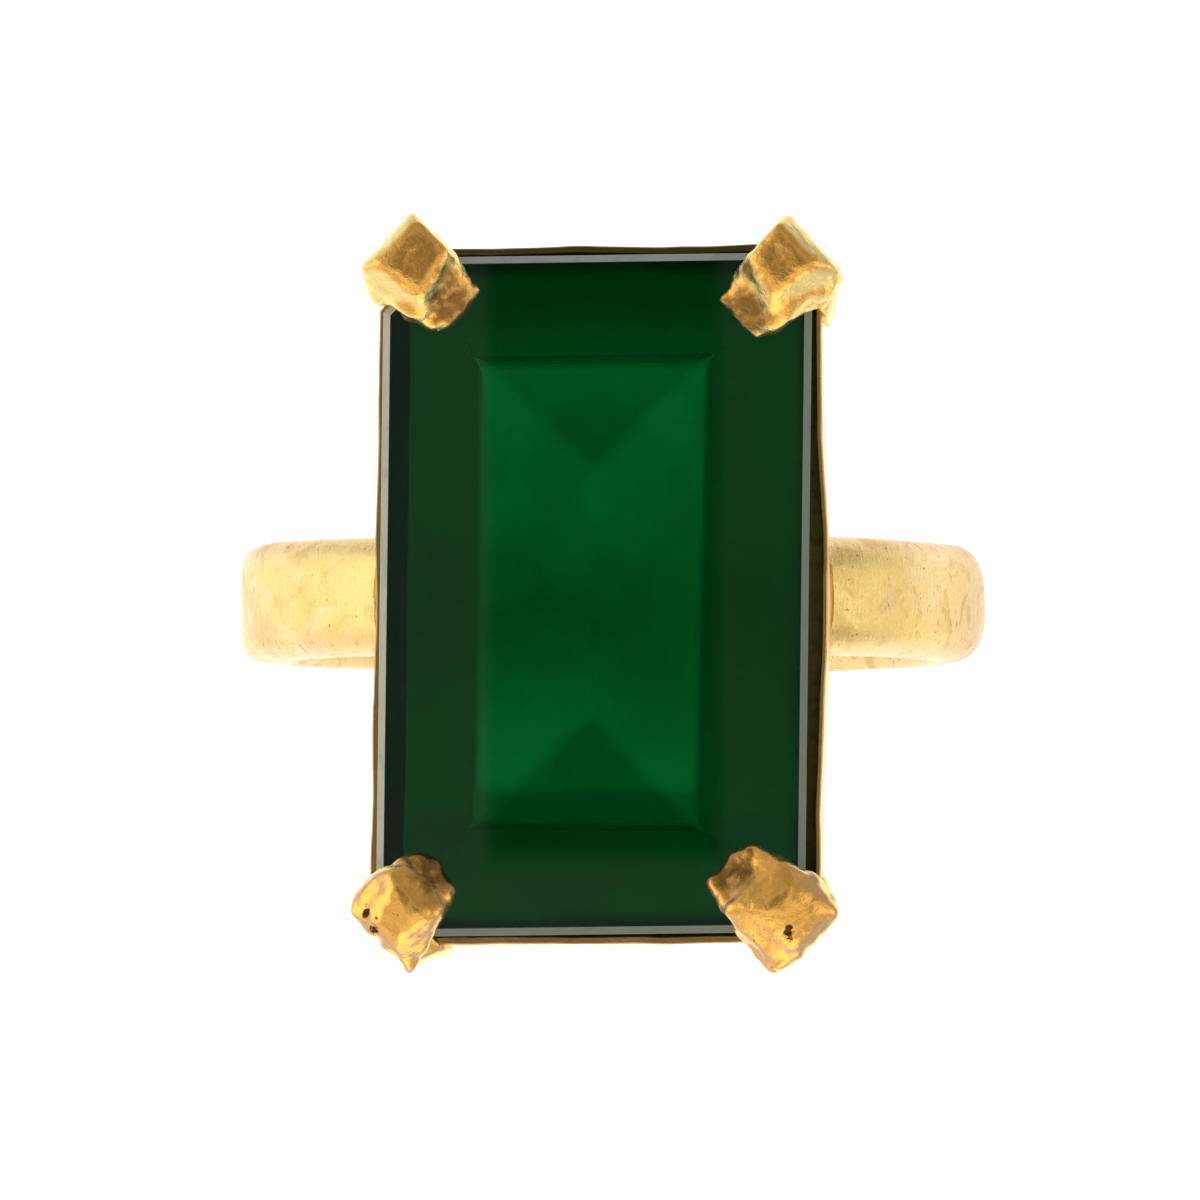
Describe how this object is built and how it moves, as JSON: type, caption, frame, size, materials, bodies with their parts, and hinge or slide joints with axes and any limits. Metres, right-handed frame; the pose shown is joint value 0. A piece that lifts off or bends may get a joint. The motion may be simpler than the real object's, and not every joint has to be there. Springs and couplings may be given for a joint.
{
  "type": "cocktail ring",
  "caption": "Gold cocktail ring with an oblong step-cut dark green stone, an open-backed collet, corner claws and a plain D-section shank",
  "frame": {"origin": "the centre of the finger hole", "axes": "+Y runs along the finger and along the stone's long side, +Z points from the finger hole to the stone's table, X runs across the ring"},
  "size_m": [0.0202, 0.0196, 0.0244],
  "materials": {
    "gold": "hand-polished yellow gold, finely scratched and slightly pitted",
    "solder": "duller, deeper orange solder",
    "green_stone": "polished dark green transparent stone, deep enough in colour to read as nearly opaque"
  },
  "bodies": {
    "root": {"stone": "green_stone", "collet": "gold", "bearer": "gold", "shank": "gold", "solder_right": "solder", "solder_left": "solder", "claw_back_right": "gold", "claw_back_left": "gold", "claw_front_left": "gold", "claw_front_right": "gold"}
  },
  "joints": []
}
